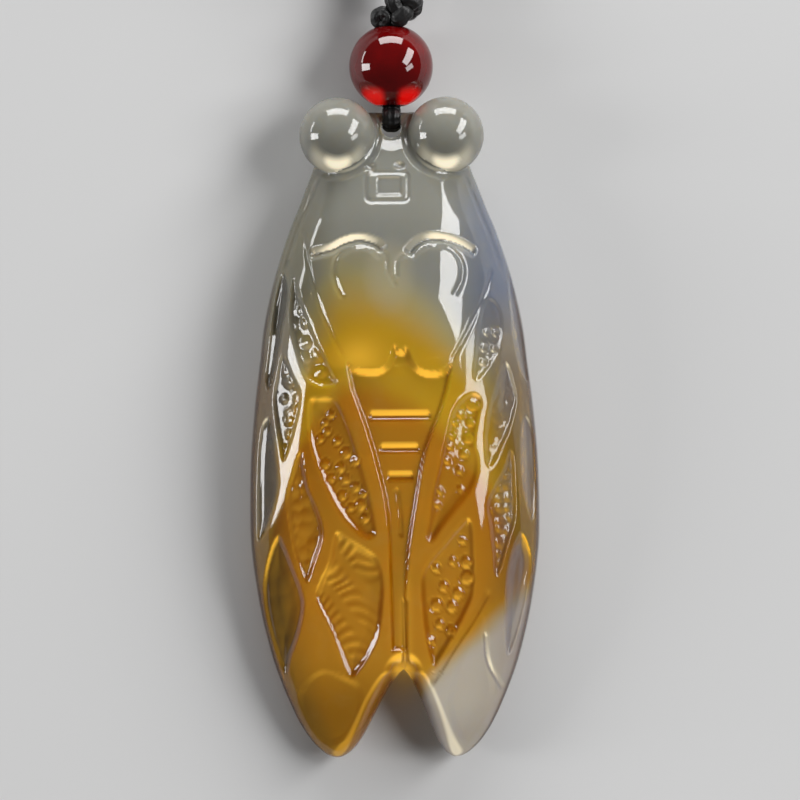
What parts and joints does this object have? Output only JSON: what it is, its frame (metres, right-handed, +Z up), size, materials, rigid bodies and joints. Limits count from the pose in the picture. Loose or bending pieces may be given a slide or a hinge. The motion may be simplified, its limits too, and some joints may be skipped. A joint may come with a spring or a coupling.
{
  "type": "carved cicada pendant",
  "caption": "Carved translucent stone cicada on a black cord, with a round dark red bead above its head; the neck cord lies coiled beside it.",
  "frame": {"origin": "on the ground under the middle of the cicada, whose ground flat belly lies at z = 0", "axes": "+X to the right across the wings as seen from the carved front, +Y along the body from the wing tips to the head, +Z up out of the carved front"},
  "size_m": [0.0242, 0.0955, 0.0105],
  "materials": {
    "agate": "polished translucent stone, clear grey to golden amber",
    "carnelian": "polished translucent dark red stone",
    "waxed_cord": "black braided cord with a waxy sheen"
  },
  "bodies": {
    "root": {"cicada": "agate", "bead": "carnelian", "hanging_loop": "waxed_cord", "cord_knot": "waxed_cord", "neck_cord_out": "waxed_cord", "neck_cord_coil": "waxed_cord", "neck_cord_back": "waxed_cord", "coil_tie": "waxed_cord"}
  },
  "joints": []
}
